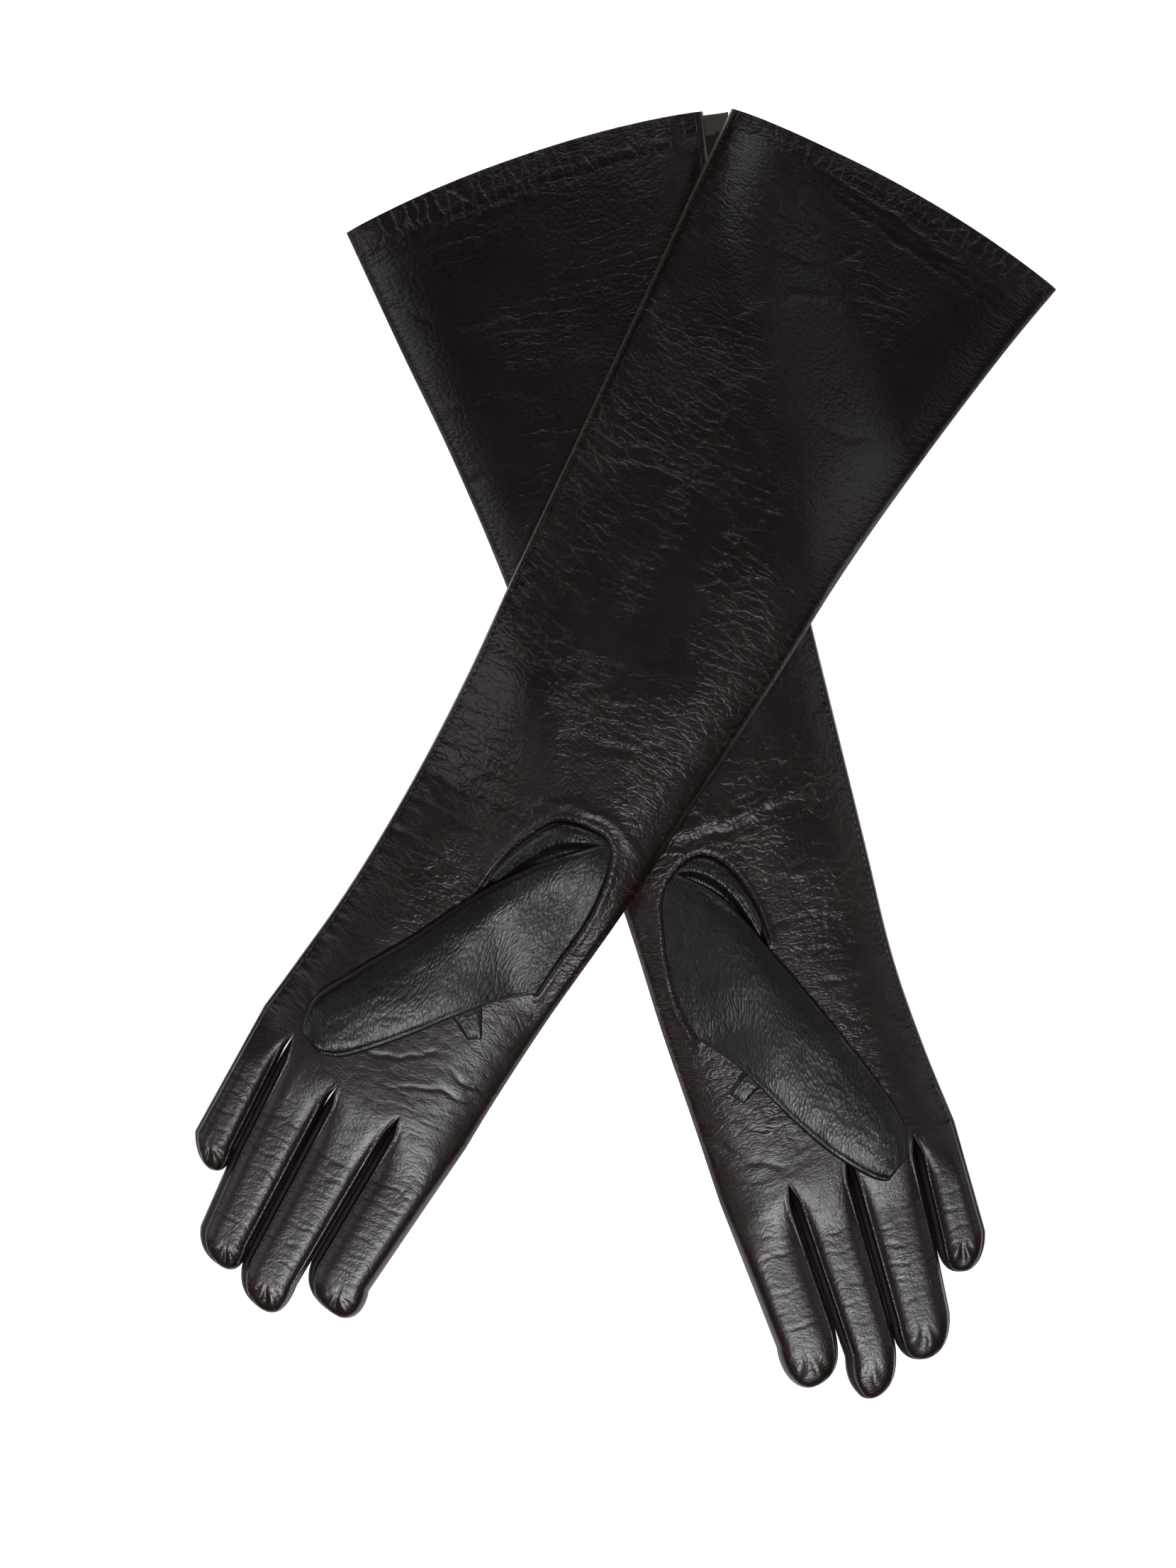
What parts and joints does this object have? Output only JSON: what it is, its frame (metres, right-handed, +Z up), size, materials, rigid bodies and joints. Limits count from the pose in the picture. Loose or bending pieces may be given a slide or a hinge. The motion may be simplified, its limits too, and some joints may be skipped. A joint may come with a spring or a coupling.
{
  "type": "opera gloves",
  "caption": "Pair of long lined leather opera gloves lying palm up, one crossed over the other, with the thumbs folded over the palms.",
  "frame": {"origin": "centre of the underside of the pair as it lies on a table", "axes": "+Y towards the cuffs along the long way of the pair, +Z up from the table towards the palms"},
  "size_m": [0.3043, 0.4548, 0.0188],
  "materials": {
    "leather": "soft black nappa with a fine grain and a low sheen",
    "thumb_leather": "smooth fine-grained black nappa",
    "fourchette_leather": "thin skived black nappa",
    "silk_lining": "brown silk with a soft lustre",
    "thread": "black waxed sewing thread"
  },
  "bodies": {
    "right_glove": {"right_palm": "leather", "right_back": "leather", "right_palm_lining": "silk_lining", "right_back_lining": "silk_lining", "right_cuff_hem": "leather", "right_fourchettes": "fourchette_leather", "right_thumb_base": "thumb_leather", "right_thumb_quirk": "thumb_leather", "right_side_seam": "thread", "right_thumb_seam": "thread"},
    "left_glove": {"left_palm": "leather", "left_back": "leather", "left_palm_lining": "silk_lining", "left_back_lining": "silk_lining", "left_cuff_hem": "leather", "left_fourchettes": "fourchette_leather", "left_thumb_base": "thumb_leather", "left_thumb_quirk": "thumb_leather", "left_side_seam": "thread", "left_thumb_seam": "thread"},
    "right_thumb": {"right_thumb_front": "thumb_leather", "right_thumb_under": "thumb_leather", "right_thumb_lining": "silk_lining"},
    "right_index": {"right_index_palm": "leather", "right_index_back": "leather", "right_index_lining": "silk_lining", "right_index_fourchette": "fourchette_leather"},
    "right_middle": {"right_middle_palm": "leather", "right_middle_back": "leather", "right_middle_lining": "silk_lining", "right_middle_fourchettes": "fourchette_leather"},
    "right_ring": {"right_ring_palm": "leather", "right_ring_back": "leather", "right_ring_lining": "silk_lining", "right_ring_fourchettes": "fourchette_leather"},
    "right_little": {"right_little_palm": "leather", "right_little_back": "leather", "right_little_lining": "silk_lining", "right_little_fourchette": "fourchette_leather"},
    "left_thumb": {"left_thumb_front": "thumb_leather", "left_thumb_under": "thumb_leather", "left_thumb_lining": "silk_lining"},
    "left_index": {"left_index_palm": "leather", "left_index_back": "leather", "left_index_lining": "silk_lining", "left_index_fourchette": "fourchette_leather"},
    "left_middle": {"left_middle_palm": "leather", "left_middle_back": "leather", "left_middle_lining": "silk_lining", "left_middle_fourchettes": "fourchette_leather"},
    "left_ring": {"left_ring_palm": "leather", "left_ring_back": "leather", "left_ring_lining": "silk_lining", "left_ring_fourchettes": "fourchette_leather"},
    "left_little": {"left_little_palm": "leather", "left_little_back": "leather", "left_little_lining": "silk_lining", "left_little_fourchette": "fourchette_leather"}
  },
  "joints": [
    {"name": "left_glove_lift", "type": "slide", "parent": "right_glove", "child": "left_glove", "axis": [0, 0, 1], "range_m": [0, 0.12]},
    {"name": "right_thumb_fold", "type": "hinge", "parent": "right_glove", "child": "right_thumb", "pos_m": [0.022, -0.0725, 0.0076], "axis": [0.1343, -0.9907, -0.0197], "range_deg": [0, 90]},
    {"name": "right_index_knuckle", "type": "hinge", "parent": "right_glove", "child": "right_index", "pos_m": [0.05333, -0.1804, 0.0057], "axis": [-0.9561, -0.2931, 0], "range_deg": [0, 90]},
    {"name": "right_middle_knuckle", "type": "hinge", "parent": "right_glove", "child": "right_middle", "pos_m": [0.07396, -0.17178, 0.0057], "axis": [-0.9712, -0.2383, 0], "range_deg": [0, 90]},
    {"name": "right_ring_knuckle", "type": "hinge", "parent": "right_glove", "child": "right_ring", "pos_m": [0.09542, -0.1629, 0.0057], "axis": [-0.9762, -0.2169, 0], "range_deg": [0, 90]},
    {"name": "right_little_knuckle", "type": "hinge", "parent": "right_glove", "child": "right_little", "pos_m": [0.1139, -0.15251, 0.0057], "axis": [-0.9755, -0.22, 0], "range_deg": [0, 90]},
    {"name": "left_thumb_fold", "type": "hinge", "parent": "left_glove", "child": "left_thumb", "pos_m": [-0.0195, -0.0595, 0.01216], "axis": [0.3929, 0.9053, 0.1612], "range_deg": [0, 90]},
    {"name": "left_little_knuckle", "type": "hinge", "parent": "left_glove", "child": "left_little", "pos_m": [-0.12983, -0.11268, 0.0057], "axis": [-0.9092, 0.4164, 0], "range_deg": [0, 90]},
    {"name": "left_ring_knuckle", "type": "hinge", "parent": "left_glove", "child": "left_ring", "pos_m": [-0.1185, -0.13142, 0.0057], "axis": [-0.9166, 0.3999, 0], "range_deg": [0, 90]},
    {"name": "left_middle_knuckle", "type": "hinge", "parent": "left_glove", "child": "left_middle", "pos_m": [-0.10112, -0.14589, 0.0057], "axis": [-0.8956, 0.4448, 0], "range_deg": [0, 90]},
    {"name": "left_index_knuckle", "type": "hinge", "parent": "left_glove", "child": "left_index", "pos_m": [-0.07895, -0.15722, 0.0057], "axis": [-0.8889, 0.4581, 0], "range_deg": [0, 90]}
  ]
}
